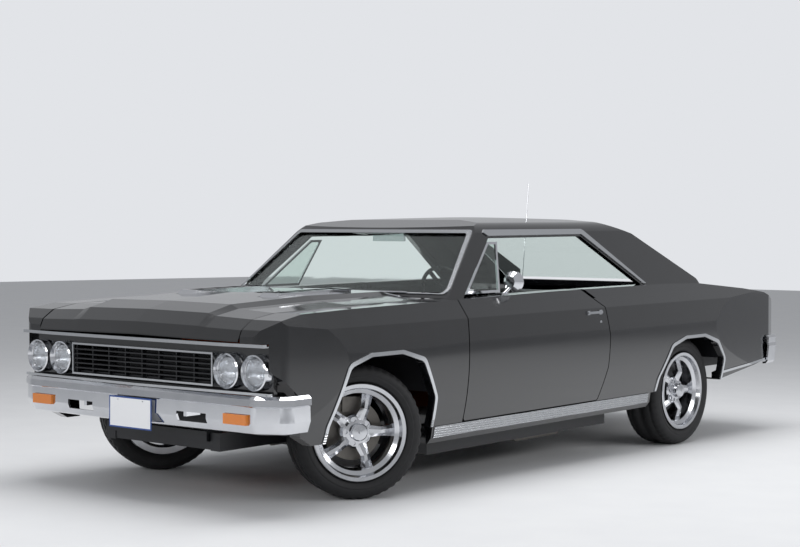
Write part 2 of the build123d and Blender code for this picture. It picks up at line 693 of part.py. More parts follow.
# Five-spoke wheel: turned rim, lug-nut hub and five arched, tapering spokes
def wheel(width):
    """A wheel on its own axis: +Z is the outboard face, and its middle plane is z = 0."""
    half = width / 2
    lip = rim_lip_radius
    barrel = rim_barrel_radius
    rim = revolve(
        Plane.XZ * make_face(Polyline(
            (lip, half - 4), (lip - 4, half), (lip - 22, half - 2), (barrel + 6, half - 26), (barrel - 14, half - 40),
            (barrel - 22, 10), (barrel - 14, -half + 18), (barrel, -half), (lip - 2, -half), (lip, -half + 8),
            (barrel + 12, -half + 24), (barrel - 4, 10), (barrel + 4, half - 48), (lip - 12, half - 22),
            close=True)), Axis.Z)
    hub = revolve(
        Plane.XZ * make_face(Polyline(
            (spindle_radius + bearing_gap, 8), (80, 8), (84, 14), (84, half - 66), (74, half - 52), (44, half - 46),
            (44, half - 20), (38, half - 12), (0, half - 8), (0, half - 22), (spindle_radius + bearing_gap, half - 22),
            close=True)), Axis.Z)
    # columns: radius from the axis, height of the crown, half width, depth
    stations = [(60.0, half - 48, 30.0, 30.0), (118.0, half - 30, 22.0, 30.0), (barrel - 11, half - 62, 30.0, 26.0)]
    sections = []
    for radius, crown, side, depth in stations:
        outline = Polyline((-side, crown - depth), (-side, crown - 12), (-side * 0.35, crown), (side * 0.35, crown),
                           (side, crown - 12), (side, crown - depth), close=True)
        sections.append(Plane.XZ.offset(-radius) * make_face(outline))
    spoke = loft(sections, ruled=True)
    body = rim + hub
    for n in range(5):
        body = body + Rot(Z=72 * n) * spoke
    lug_circle = 60.3
    for n in range(5):
        lug = Rot(Z=72 * n + 36) * Pos(0, lug_circle, half - 60) * (Cylinder(15, 22) - Pos(0, 0, 6) * Cylinder(10.5, 22))
        body = body + lug
        body = body - Rot(Z=72 * n + 36) * Pos(0, lug_circle, half - 46) * Cylinder(10.5, 18)
    return body.solids().sort_by(SortBy.VOLUME)[-1]


def tyre(radius, width):
    """A tyre on its own axis, rounded at the shoulders, on its bead seats."""
    half = width / 2
    bead = rim_lip_radius + 0.5
    seat = rim_lip_radius - 14
    return revolve(
        Plane.XZ * make_face(Wire([
            Line((bead, -half + 18), (bead + 34, -half)),
            ThreePointArc((bead + 34, -half), (radius - 24, -half + 6), (radius - 6, -half + 30)),
            Line((radius - 6, -half + 30), (radius, -half + 58)),
            Line((radius, -half + 58), (radius, half - 58)),
            Line((radius, half - 58), (radius - 6, half - 30)),
            ThreePointArc((radius - 6, half - 30), (radius - 24, half - 6), (bead + 34, half)),
            Line((bead + 34, half), (bead, half - 18)),
            Line((bead, half - 18), (bead, -half + 18)),
        ])), Axis.Z)


steer_axis_left = Pos(kingpin_x, front_axle_y, 0) * Rot(Z=rest_steer_deg)
steer_axis_right = Pos(-kingpin_x, front_axle_y, 0) * Rot(Z=rest_steer_deg)
hub_offset = front_wheel_x - kingpin_x
corners = {
    "front_left": steer_axis_left * Pos(hub_offset, 0, front_tyre_radius) * Rot(Y=90),
    "front_right": steer_axis_right * Pos(-hub_offset, 0, front_tyre_radius) * Rot(Y=-90),
    "rear_left": Pos(rear_wheel_x, rear_axle_y, rear_tyre_radius) * Rot(Y=90),
    "rear_right": Pos(-rear_wheel_x, rear_axle_y, rear_tyre_radius) * Rot(Y=-90),
}
for corner_name, place in corners.items():
    is_front = corner_name.startswith("front")
    save("wheel_" + corner_name, place * wheel(front_rim_width if is_front else rear_rim_width))
    save("tyre_" + corner_name, place * tyre(front_tyre_radius if is_front else rear_tyre_radius,
                                             front_tyre_width if is_front else rear_tyre_width))

# Steering knuckles: upright, spindle, brake disc and caliper, turned with the wheel
upright = block(-34, 4, -26, 26, front_tyre_radius - 96, front_tyre_radius + 128)
spindle = Pos(0, 0, front_tyre_radius) * Rot(Y=90) * Cylinder(
    spindle_radius, hub_offset + 68, align=(Align.CENTER, Align.CENTER, Align.MIN))
disc = Pos(16, 0, front_tyre_radius) * Rot(Y=90) * (Cylinder(disc_radius, 22) + Cylinder(64, 40))
caliper = block(-8, 40, -58, 58, front_tyre_radius + 92, front_tyre_radius + 166)
arm = block(-34, -12, -26, 130, front_tyre_radius - 70, front_tyre_radius - 52)
knuckle = upright + spindle + disc + caliper + arm
save("knuckle_left", steer_axis_left * knuckle)
save("knuckle_right", steer_axis_right * mirror(knuckle, Plane.YZ))

# Suspension arms from the frame to the knuckles, and the live rear axle with its drums and links
pin = front_tyre_radius
lower_arm = plan_prism(closed([(405, front_axle_y - 120), (655, front_axle_y - 20), (672, front_axle_y),
                               (655, front_axle_y + 20), (405, front_axle_y + 120), (405, front_axle_y + 70),
                               (560, front_axle_y), (405, front_axle_y - 70)], 8), pin - 122, pin - 102)
upper_arm = plan_prism(closed([(405, front_axle_y - 80), (650, front_axle_y - 20), (672, front_axle_y),
                               (650, front_axle_y + 20), (405, front_axle_y + 80), (405, front_axle_y + 40),
                               (560, front_axle_y), (405, front_axle_y - 40)], 8), pin + 134, pin + 150)
tower = block(346, 410, front_axle_y - 90, front_axle_y + 90, pin + 30, pin + 160)
spring = rod((500, front_axle_y, pin - 104), (470, front_axle_y, pin + 136), 48)
save("front_suspension", both_sides(lower_arm + upper_arm + tower + spring))
axle = Pos(0, rear_axle_y, rear_tyre_radius) * Rot(Y=90) * Cylinder(38, 2 * (rear_wheel_x - 92))
axle = axle + Pos(0, rear_axle_y, rear_tyre_radius) * Rot(Y=90) * revolve(
    Plane.XZ * make_face(Polyline((0, -150), (70, -130), (120, -60), (120, 60), (70, 130), (0, 150), close=True)), Axis.Z)
for side_sign in (-1, 1):
    axle = axle + Pos(side_sign * (rear_wheel_x - 62), rear_axle_y, rear_tyre_radius) * Rot(Y=90) * Cylinder(drum_radius, 90)
    axle = axle + Pos(side_sign * (rear_wheel_x + 23), rear_axle_y, rear_tyre_radius) * Rot(Y=90) * Cylinder(
        spindle_radius, 136)
    axle = axle + rod((side_sign * 560, rear_axle_y - 10, 300), (side_sign * 560, 700, 270), 22)
    axle = axle + rod((side_sign * 420, rear_axle_y, 350), (side_sign * 420, rear_axle_y, 498), 46)
save("rear_axle", axle)

# Cabin: instrument panel, steering wheel on its column, seats and the inside mirror
dash = side_prism(closed([(-920, 700), (-920, 934), (-800, 972), (-690, 968), (-650, 930), (-668, 820), (-760, 700)], 12),
                  -742, 742)
dash = dash - Pos(370, -640, 892) * Rot(X=90) * Cylinder(62, 60)
dash = dash - Pos(200, -640, 892) * Rot(X=90) * Cylinder(40, 60)
column_start = (370, -690, 850)
wheel_centre = (370, -470, 950)
dash = dash - rod(column_start, wheel_centre, 22.5)
save("dashboard", raked(dash))
steering = rod(column_start, wheel_centre, 22)
rim_plane = Plane(origin=Vector(*wheel_centre), z_dir=Vector(0, 220, 100))
steering = steering + rim_plane * Torus(188, 11)
for angle in (90, 210, 330):
    steering = steering + rim_plane * (Rot(Z=angle) * Pos(94, 0, 0) * Box(188, 26, 8))
save("steering_wheel", raked(steering))
seat_side = closed([(-300, 300), (-330, 420), (-300, 470), (60, 440), (110, 480), (190, 900), (250, 940), (300, 900),
                    (230, 440), (180, 300)], 24)
front_seat = side_prism(seat_side, 170, 690)
save("front_seats", raked(both_sides(front_seat)))
rear_seat = side_prism(closed([(560, 290), (540, 430), (545, 530), (575, 570), (905, 548), (1010, 900), (1060, 950),
                               (1130, 930), (1130, 880), (1000, 505), (784, 505), (684, 290)], 16), -530, 530)
rear_seat = rear_seat - block(-160, 160, 500, 760, 200, 405)
save("rear_seat", raked(rear_seat))
save("rear_shelf", raked(block(-700, 700, 1140, 1306, 900, 912) + block(-560, 560, 1136, 1148, 500.5, 900)))
mirror_glass = Pos(0, -560, 1290) * Box(230, 18, 52)
mirror_stem = rod((0, -565, 1300), (0, -562, 1322), 7)
save("inside_mirror", raked(mirror_glass + mirror_stem))

# Wipers on the cowl, and the whip aerial on the right rear quarter
wipers = []
for x0 in (-90.0, 520.0):
    blade = [(x, screen_base_y + screen_bow * (x / 900) ** 2 - 22, 1006) for x in (x0 - 400, x0 + 10)]
    hold = [(a + b) / 2 for a, b in zip(*blade)]
    wiper = rod(*blade, 5) + rod((x0, -1098, 984), hold, 5) + Pos(x0, -1098, 981) * Cylinder(15, 10)
    wipers.append(wiper)
aerial = rod((-780, 1836, 947), (-780, 1912, 1640), 3.5) + Pos(-780, 1835, 952) * Cylinder(16, 14)
aerial = aerial - outer_hull
save("aerial", raked(aerial))
save("wipers", [raked(w) for w in wipers])
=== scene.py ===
import json
from math import cos, pi, radians, sin

import bmesh
import bpy
from mathutils import Matrix, Vector


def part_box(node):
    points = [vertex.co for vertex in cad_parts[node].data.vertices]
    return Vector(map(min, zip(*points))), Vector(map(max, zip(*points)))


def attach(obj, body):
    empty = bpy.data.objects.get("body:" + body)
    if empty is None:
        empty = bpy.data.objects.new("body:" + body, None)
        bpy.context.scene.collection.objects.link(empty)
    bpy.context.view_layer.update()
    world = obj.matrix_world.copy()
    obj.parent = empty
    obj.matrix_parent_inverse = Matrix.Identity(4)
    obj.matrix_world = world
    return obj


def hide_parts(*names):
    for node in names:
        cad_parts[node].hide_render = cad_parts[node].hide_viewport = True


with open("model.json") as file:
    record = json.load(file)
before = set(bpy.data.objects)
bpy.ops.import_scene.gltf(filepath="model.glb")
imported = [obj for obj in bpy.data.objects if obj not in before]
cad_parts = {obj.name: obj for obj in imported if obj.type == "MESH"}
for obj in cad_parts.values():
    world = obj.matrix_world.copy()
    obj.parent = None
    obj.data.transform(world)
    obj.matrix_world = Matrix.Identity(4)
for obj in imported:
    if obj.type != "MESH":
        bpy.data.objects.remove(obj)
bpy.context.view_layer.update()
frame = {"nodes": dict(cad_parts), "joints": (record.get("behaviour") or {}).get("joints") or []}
joints = {joint["name"]: joint for joint in frame["joints"]}

# The camera stands off the car's front left corner at about eye height, with a short telephoto lens. Its
# place, turn and lens were worked out from the lamps, bumper, wheels and window corners of the real car.
camera_place = Vector((6.071, -7.767, 1.287))
camera_yaw = radians(39.8)
camera_pitch = radians(-1.3)
camera_roll = radians(0.4)
ahead = Vector((-sin(camera_yaw) * cos(camera_pitch), cos(camera_yaw) * cos(camera_pitch), sin(camera_pitch)))
level_right = ahead.cross(Vector((0, 0, 1))).normalized()
level_up = level_right.cross(ahead)
right = cos(camera_roll) * level_right + sin(camera_roll) * level_up
up = -sin(camera_roll) * level_right + cos(camera_roll) * level_up
camera_data = bpy.data.cameras.new("camera")
camera_data.lens = 74.07
camera_data.sensor_width = 36.0
camera_data.clip_end = 200.0
camera = bpy.data.objects.new("camera", camera_data)
camera.matrix_world = Matrix.Translation(camera_place) @ Matrix((right, up, -ahead)).transposed().to_4x4()
bpy.context.scene.collection.objects.link(camera)
bpy.context.scene.camera = camera
bpy.context.scene.view_settings.view_transform = "Standard"


def linear(code):
    """Turns an sRGB hex colour into linear red, green, blue and a full alpha."""
    levels = [int(code[i:i + 2], 16) / 255 for i in (1, 3, 5)]
    return tuple(v / 12.92 if v <= 0.04045 else ((v + 0.055) / 1.055) ** 2.4 for v in levels) + (1.0,)


def add(tree, kind, settings=None, links=None):
    """Adds one node, sets its values and links its inputs."""
    made = tree.nodes.new(kind)
    for key, value in (settings or {}).items():
        if isinstance(key, str) and hasattr(made, key):
            setattr(made, key, value)
        else:
            made.inputs[key].default_value = value
    for key, socket in (links or {}).items():
        tree.links.new(socket, made.inputs[key])
    return made


def start_material(name):
    """A new material, its node tree and the object coordinates in metres."""
    material = bpy.data.materials.new(name)
    material.use_nodes = True
    tree = material.node_tree
    tree.nodes.clear()
    return material, tree, add(tree, "ShaderNodeTexCoord").outputs["Object"]


def close_material(material, tree, shader):
    """Sends a shader to the surface and gives back the material."""
    add(tree, "ShaderNodeOutputMaterial", {}, {"Surface": shader.outputs[0]})
    return material


def finish_nodes(material, *names):
    """Gives these CAD nodes a finish."""
    for name in names:
        data = frame["nodes"][name].data
        data.materials.clear()
        data.materials.append(material)


def new_mesh(name, builder, material, smooth=True):
    """Makes a mesh object, drawn in the car's own frame."""
    data = bpy.data.meshes.new(name)
    bmesh.ops.recalc_face_normals(builder, faces=builder.faces)
    builder.to_mesh(data)
    builder.free()
    for face in data.polygons:
        face.use_smooth = smooth
    data.materials.append(material)
    made = bpy.data.objects.new(name, data)
    bpy.context.scene.collection.objects.link(made)
    return made


# The studio: a painted pale floor 60 m across under an even pale backdrop. A wide softbox hangs over the
# car, a long one stands at its left and a weaker one in front, so that dark paint shows broad soft
# reflections.
material, tree, place = start_material("studio_floor_paint")
grain = add(tree, "ShaderNodeTexNoise", {"Scale": 3.0, "Detail": 4.0}, {"Vector": place})
tint = add(tree, "ShaderNodeMix", {"data_type": "RGBA", 6: linear("#D6D7D9"), 7: linear("#DEDFE0")},
           {0: grain.outputs["Fac"]})
floor_shader = add(tree, "ShaderNodeBsdfPrincipled", {"Roughness": 0.62}, {"Base Color": tint.outputs[2]})
floor_paint = close_material(material, tree, floor_shader)
floor_half = 30.0
floor_builder = bmesh.new()
floor_corners = [(-1, -1), (1, -1), (1, 1), (-1, 1)]
floor_verts = [floor_builder.verts.new((x * floor_half, y * floor_half, 0)) for x, y in floor_corners]
floor_builder.faces.new(floor_verts)
floor = new_mesh("floor", floor_builder, floor_paint, False)

world = bpy.data.worlds.new("studio")
world.use_nodes = True
tree = world.node_tree
tree.nodes.clear()
ray = add(tree, "ShaderNodeLightPath")
seen = add(tree, "ShaderNodeMath", {"operation": "MAXIMUM"},
           {0: ray.outputs["Is Camera Ray"], 1: ray.outputs["Is Transmission Ray"]})
level = add(tree, "ShaderNodeMapRange", {"To Min": 0.55, "To Max": 1.0}, {"Value": seen.outputs[0]})
sky = add(tree, "ShaderNodeBackground", {"Color": linear("#E2E4E8")}, {"Strength": level.outputs[0]})
add(tree, "ShaderNodeOutputWorld", {}, {"Surface": sky.outputs[0]})
bpy.context.scene.world = world

# columns: name, place, aim, width, height, watts
softboxes = [
    ("top_box", (0.5, -0.3, 6.0), (0, 0, 0.5), 7.0, 3.0, 330),
    ("side_box", (8.0, 2.0, 3.6), (0, 0.3, 0.7), 8.0, 1.4, 230),
    ("front_box", (1.5, -9.0, 3.2), (0, -2.0, 0.6), 6.0, 1.6, 170),
]
for box_name, box_place, aim, width, height, watts in softboxes:
    light = bpy.data.lights.new(box_name, "AREA")
    light.shape = "RECTANGLE"
    light.size = width
    light.size_y = height
    light.energy = watts
    softbox = bpy.data.objects.new(box_name, light)
    softbox.location = box_place
    softbox.rotation_euler = (Vector(aim) - Vector(box_place)).to_track_quat("-Z", "Y").to_euler()
    bpy.context.scene.collection.objects.link(softbox)

# Chassis frame, suspension, axle, floor, wheelhouses, radiator and grille: steel pressings and die-cast
# bars in satin black paint, with small flecks where the paint lies thicker.
material, tree, place = start_material("satin_black_paint")
fleck = add(tree, "ShaderNodeTexNoise", {"Scale": 90.0, "Detail": 3.0}, {"Vector": place})
satin = add(tree, "ShaderNodeMix", {"data_type": "RGBA", 6: linear("#101114"), 7: linear("#1C1D21")},
            {0: fleck.outputs["Fac"]})
rough = add(tree, "ShaderNodeMapRange", {"To Min": 0.32, "To Max": 0.5}, {"Value": fleck.outputs["Fac"]})
satin_shader = add(tree, "ShaderNodeBsdfPrincipled", {},
                   {"Base Color": satin.outputs[2], "Roughness": rough.outputs[0]})
satin_black = close_material(material, tree, satin_shader)
finish_nodes(satin_black, "chassis_frame", "front_suspension", "rear_axle", "floor_pan", "wheelhouses",
             "gearbox_shaft", "radiator", "grille")

# Engine: cast iron in orange enamel, with the grain of the sand mould showing through the paint.
material, tree, place = start_material("orange_engine_enamel")
cast = add(tree, "ShaderNodeTexNoise", {"Scale": 55.0, "Detail": 6.0}, {"Vector": place})
cast_bump = add(tree, "ShaderNodeBump", {"Strength": 0.35, "Distance": 0.002},
                {"Height": cast.outputs["Fac"]})
cast_tint = add(tree, "ShaderNodeMix", {"data_type": "RGBA", 6: linear("#9E3A12"), 7: linear("#C4531E")},
                {0: cast.outputs["Fac"]})
engine_shader = add(tree, "ShaderNodeBsdfPrincipled", {"Roughness": 0.4},
                    {"Base Color": cast_tint.outputs[2], "Normal": cast_bump.outputs[0]})
finish_nodes(close_material(material, tree, engine_shader), "engine")

# Exhaust, fuel tank and steering knuckles: bare rolled and forged steel, darkened in patches by heat and
# road film.
material, tree, place = start_material("rolled_steel")
scale = add(tree, "ShaderNodeTexNoise", {"Scale": 18.0, "Detail": 6.0}, {"Vector": place})
steel_tint = add(tree, "ShaderNodeMix", {"data_type": "RGBA", 6: linear("#5E5A55"), 7: linear("#8B8883")},
                 {0: scale.outputs["Fac"]})
steel_rough = add(tree, "ShaderNodeMapRange", {"To Min": 0.35, "To Max": 0.6},
                  {"Value": scale.outputs["Fac"]})
steel_shader = add(tree, "ShaderNodeBsdfPrincipled", {"Metallic": 0.9},
                   {"Base Color": steel_tint.outputs[2], "Roughness": steel_rough.outputs[0]})
rolled_steel = close_material(material, tree, steel_shader)
finish_nodes(rolled_steel, "exhaust", "fuel_tank", "knuckle_left", "knuckle_right")

# Body panels: pressed steel in black enamel under a polished clear coat. The coat gives sharp reflections,
# broken by a faint orange peel about 4 mm across, and the enamel below varies a little in depth.
material, tree, place = start_material("black_enamel_clear_coat")
peel = add(tree, "ShaderNodeTexNoise", {"Scale": 240.0, "Detail": 2.0}, {"Vector": place})
ripple = add(tree, "ShaderNodeBump", {"Strength": 0.018, "Distance": 0.0006}, {"Height": peel.outputs["Fac"]})
dust = add(tree, "ShaderNodeTexNoise", {"Scale": 7.0, "Detail": 5.0}, {"Vector": place})
depth = add(tree, "ShaderNodeMix", {"data_type": "RGBA", 6: linear("#040406"), 7: linear("#0B0C10")},
            {0: dust.outputs["Fac"]})
haze = add(tree, "ShaderNodeMapRange", {"To Min": 0.10, "To Max": 0.2}, {"Value": dust.outputs["Fac"]})
enamel = add(tree, "ShaderNodeBsdfPrincipled", {"Coat Weight": 1.0, "Coat Roughness": 0.03, "IOR": 1.5},
             {"Base Color": depth.outputs[2], "Roughness": haze.outputs[0], "Normal": ripple.outputs[0],
              "Coat Normal": ripple.outputs[0]})
black_enamel = close_material(material, tree, enamel)
finish_nodes(black_enamel, "front_fenders", "hood", "roof", "rear_quarters", "trunk_lid", "door_left",
             "door_right", "sills", "cowl_firewall", "nose_panel")

# Bumpers, lamp bezels, handles, mirrors, aerial and hood louvres: polished steel or zinc castings with a
# bright chrome plate, a little duller where the polishing was uneven.
material, tree, place = start_material("chrome_plate")
wear = add(tree, "ShaderNodeTexNoise", {"Scale": 14.0, "Detail": 6.0}, {"Vector": place})
polish = add(tree, "ShaderNodeMapRange", {"To Min": 0.05, "To Max": 0.13}, {"Value": wear.outputs["Fac"]})
tone = add(tree, "ShaderNodeMix", {"data_type": "RGBA", 6: linear("#D4D6DA"), 7: linear("#E6E7EA")},
           {0: wear.outputs["Fac"]})
chrome_shader = add(tree, "ShaderNodeBsdfPrincipled", {"Metallic": 1.0},
                    {"Base Color": tone.outputs[2], "Roughness": polish.outputs[0]})
chrome = close_material(material, tree, chrome_shader)
finish_nodes(chrome, "front_bumper", "rear_bumper", "headlamp_bezels", "door_fittings_left",
             "door_fittings_right", "hood_louvres", "inside_mirror", "aerial")

# Window frames, front mouldings and wipers: rolled stainless strip, buffed, with small changes of gloss
# from the wheel.
material, tree, place = start_material("buffed_stainless")
buffing = add(tree, "ShaderNodeTexNoise", {"Scale": 60.0, "Detail": 3.0}, {"Vector": place})
gloss = add(tree, "ShaderNodeMapRange", {"To Min": 0.12, "To Max": 0.22}, {"Value": buffing.outputs["Fac"]})
strip_shader = add(tree, "ShaderNodeBsdfPrincipled", {"Metallic": 1.0, "Base Color": linear("#CFD1D4")},
                   {"Roughness": gloss.outputs[0]})
finish_nodes(close_material(material, tree, strip_shader), "front_mouldings", "window_frames", "wipers")

# Side mouldings: the same strip round the wheel openings and along the sill, where its broad band is
# pressed into level ribs.
rib_pitch = 0.012
ribs_end_height = 0.366
material, tree, place = start_material("ribbed_stainless")
moulding_axes = add(tree, "ShaderNodeSeparateXYZ", {}, {"Vector": place})
rib_turns = add(tree, "ShaderNodeMath", {"operation": "MULTIPLY", 1: 2 * pi / rib_pitch},
                {0: moulding_axes.outputs["Z"]})
rib_wave = add(tree, "ShaderNodeMath", {"operation": "SINE"}, {0: rib_turns.outputs[0]})
on_sill = add(tree, "ShaderNodeMath", {"operation": "LESS_THAN", 1: ribs_end_height},
              {0: moulding_axes.outputs["Z"]})
rib = add(tree, "ShaderNodeMath", {"operation": "MULTIPLY"}, {0: rib_wave.outputs[0], 1: on_sill.outputs[0]})
press = add(tree, "ShaderNodeBump", {"Strength": 0.6, "Distance": 0.003}, {"Height": rib.outputs[0]})
smudge = add(tree, "ShaderNodeTexNoise", {"Scale": 20.0}, {"Vector": place})
sheen = add(tree, "ShaderNodeMapRange", {"To Min": 0.1, "To Max": 0.2}, {"Value": smudge.outputs["Fac"]})
rib_shader = add(tree, "ShaderNodeBsdfPrincipled", {"Metallic": 1.0, "Base Color": linear("#D2D4D7")},
                 {"Roughness": sheen.outputs[0], "Normal": press.outputs[0]})
finish_nodes(close_material(material, tree, rib_shader), "side_mouldings")

# Windows: safety glass 6 mm thick, faintly green from its iron, with a thin film of haze in places.
material, tree, place = start_material("green_safety_glass")
film = add(tree, "ShaderNodeTexNoise", {"Scale": 5.0, "Detail": 4.0}, {"Vector": place})
film_rough = add(tree, "ShaderNodeMapRange", {"To Min": 0.0, "To Max": 0.03}, {"Value": film.outputs["Fac"]})
pane = add(tree, "ShaderNodeBsdfPrincipled",
           {"Base Color": linear("#E9F4EF"), "Transmission Weight": 1.0, "IOR": 1.45},
           {"Roughness": film_rough.outputs[0]})
finish_nodes(close_material(material, tree, pane), "windscreen", "rear_glass", "vent_glass_left",
             "vent_glass_right")

# Headlamp lenses: pressed glass with upright flutes, which spread the beam sideways.
flute_pitch = 0.007
material, tree, place = start_material("fluted_lamp_glass")
lens_axes = add(tree, "ShaderNodeSeparateXYZ", {}, {"Vector": place})
flute_turns = add(tree, "ShaderNodeMath", {"operation": "MULTIPLY", 1: 2 * pi / flute_pitch},
                  {0: lens_axes.outputs["X"]})
flute = add(tree, "ShaderNodeMath", {"operation": "SINE"}, {0: flute_turns.outputs[0]})
flute_bump = add(tree, "ShaderNodeBump", {"Strength": 0.5, "Distance": 0.0015}, {"Height": flute.outputs[0]})
lens_shader = add(tree, "ShaderNodeBsdfPrincipled",
                  {"Base Color": linear("#F4F7FA"), "Transmission Weight": 0.85, "Roughness": 0.04,
                   "IOR": 1.47},
                  {"Normal": flute_bump.outputs[0]})
finish_nodes(close_material(material, tree, lens_shader), "headlamp_lenses")

# Headlamp reflectors: a spun bowl behind each lens, silvered inside. Each one opens forward, a millimetre
# behind the back of its lens.
bowl_radius = 0.062
bowl_depth = 0.045
behind_lens = 0.001
bowl_rings = 9
bowl_sides = 40
lens_low, lens_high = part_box("headlamp_lenses")
bowl_z = (lens_low.z + lens_high.z) / 2
for number, bowl_x in enumerate((0.781, 0.600, -0.600, -0.781)):
    builder = bmesh.new()
    rings = []
    for ring in range(bowl_rings):
        share = (ring + 1) / bowl_rings
        y = lens_high.y + behind_lens + bowl_depth * (1 - share ** 2)
        turns = [2 * pi * n / bowl_sides for n in range(bowl_sides)]
        rings.append([builder.verts.new((bowl_x + bowl_radius * share * cos(turn), y,
                                         bowl_z + bowl_radius * share * sin(turn))) for turn in turns])
    builder.faces.new(rings[0])
    for inner, outer in zip(rings, rings[1:]):
        for n in range(bowl_sides):
            after = (n + 1) % bowl_sides
            builder.faces.new((inner[n], inner[after], outer[after], outer[n]))
    reflector = new_mesh(f"lamp_bowl_{number}", builder, chrome)
    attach(reflector, "body")

# Parking and tail lamps: lenses of moulded acrylic, amber in front and red behind, with fine upright ribs.
lamp_rib_pitch = 0.005
lamp_finishes = [("parking_lamps", "amber_acrylic", "#F08A1C"), ("tail_lamps", "red_acrylic", "#B01216")]
for lamp_node, finish_name, colour in lamp_finishes:
    material, tree, place = start_material(finish_name)
    lamp_axes = add(tree, "ShaderNodeSeparateXYZ", {}, {"Vector": place})
    lamp_turns = add(tree, "ShaderNodeMath", {"operation": "MULTIPLY", 1: 2 * pi / lamp_rib_pitch},
                     {0: lamp_axes.outputs["X"]})
    lamp_wave = add(tree, "ShaderNodeMath", {"operation": "SINE"}, {0: lamp_turns.outputs[0]})
    lamp_bump = add(tree, "ShaderNodeBump", {"Strength": 0.4, "Distance": 0.001},
                    {"Height": lamp_wave.outputs[0]})
    acrylic = add(tree, "ShaderNodeBsdfPrincipled",
                  {"Base Color": linear(colour), "Transmission Weight": 0.25, "Roughness": 0.12, "IOR": 1.49,
                   "Coat Weight": 0.6},
                  {"Normal": lamp_bump.outputs[0]})
    finish_nodes(close_material(material, tree, acrylic), lamp_node)

# Licence plate: stamped aluminium, painted white, with a blue line round its edge and nothing written on it.
line_width = 0.007
plate_low, plate_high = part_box("front_plate")
plate_middle = (plate_low.z + plate_high.z) / 2
plate_half_height = (plate_high.z - plate_low.z) / 2
material, tree, place = start_material("white_plate_paint")
spot = add(tree, "ShaderNodeTexNoise", {"Scale": 40.0}, {"Vector": place})
plate_axes = add(tree, "ShaderNodeSeparateXYZ", {}, {"Vector": place})
aside_by = add(tree, "ShaderNodeMath", {"operation": "ABSOLUTE"}, {0: plate_axes.outputs["X"]})
at_end = add(tree, "ShaderNodeMath", {"operation": "GREATER_THAN", 1: plate_high.x - line_width},
             {0: aside_by.outputs[0]})
above_middle = add(tree, "ShaderNodeMath", {"operation": "SUBTRACT", 1: plate_middle},
                   {0: plate_axes.outputs["Z"]})
upright_by = add(tree, "ShaderNodeMath", {"operation": "ABSOLUTE"}, {0: above_middle.outputs[0]})
at_edge = add(tree, "ShaderNodeMath", {"operation": "GREATER_THAN", 1: plate_half_height - line_width},
              {0: upright_by.outputs[0]})
on_line = add(tree, "ShaderNodeMath", {"operation": "MAXIMUM"}, {0: at_end.outputs[0], 1: at_edge.outputs[0]})
plate_tint = add(tree, "ShaderNodeMix", {"data_type": "RGBA", 6: linear("#E9EAEC"), 7: linear("#2B4A8B")},
                 {0: on_line.outputs[0]})
plate_rough = add(tree, "ShaderNodeMapRange", {"To Min": 0.3, "To Max": 0.42}, {"Value": spot.outputs["Fac"]})
plate_paint = add(tree, "ShaderNodeBsdfPrincipled", {},
                  {"Base Color": plate_tint.outputs[2], "Roughness": plate_rough.outputs[0]})
finish_nodes(close_material(material, tree, plate_paint), "front_plate")

# Wheels: five-spoke aluminium castings, polished to a soft mirror, slightly cloudy where the hand polishing
# was light.
material, tree, place = start_material("polished_cast_aluminium")
swirl = add(tree, "ShaderNodeTexNoise", {"Scale": 35.0, "Detail": 5.0}, {"Vector": place})
mirror_rough = add(tree, "ShaderNodeMapRange", {"To Min": 0.1, "To Max": 0.22},
                   {"Value": swirl.outputs["Fac"]})
alloy_tint = add(tree, "ShaderNodeMix", {"data_type": "RGBA", 6: linear("#C6C8CC"), 7: linear("#DADBDE")},
                 {0: swirl.outputs["Fac"]})
alloy_shader = add(tree, "ShaderNodeBsdfPrincipled", {"Metallic": 1.0},
                   {"Base Color": alloy_tint.outputs[2], "Roughness": mirror_rough.outputs[0]})
finish_nodes(close_material(material, tree, alloy_shader), "wheel_front_left", "wheel_front_right",
             "wheel_rear_left", "wheel_rear_right")

# Tyres: moulded black rubber, with three grooves round the tread, cross cuts on the shoulders and one ring
# moulded in each sidewall. They stand for the plain tyre solids at the same size and turn with their
# wheels.
material, tree, place = start_material("tyre_rubber")
bloom = add(tree, "ShaderNodeTexNoise", {"Scale": 30.0, "Detail": 6.0}, {"Vector": place})
rubber_tint = add(tree, "ShaderNodeMix", {"data_type": "RGBA", 6: linear("#141415"), 7: linear("#252527")},
                  {0: bloom.outputs["Fac"]})
rubber_bump = add(tree, "ShaderNodeBump", {"Strength": 0.15, "Distance": 0.001},
                  {"Height": bloom.outputs["Fac"]})
rubber_shader = add(tree, "ShaderNodeBsdfPrincipled", {"Roughness": 0.62, "Specular IOR Level": 0.35},
                    {"Base Color": rubber_tint.outputs[2], "Normal": rubber_bump.outputs[0]})
rubber = close_material(material, tree, rubber_shader)
steps_round = 144
steps_between_cuts = 3
cut_depth = 0.006
groove_depth = 0.007
bead = 0.2415
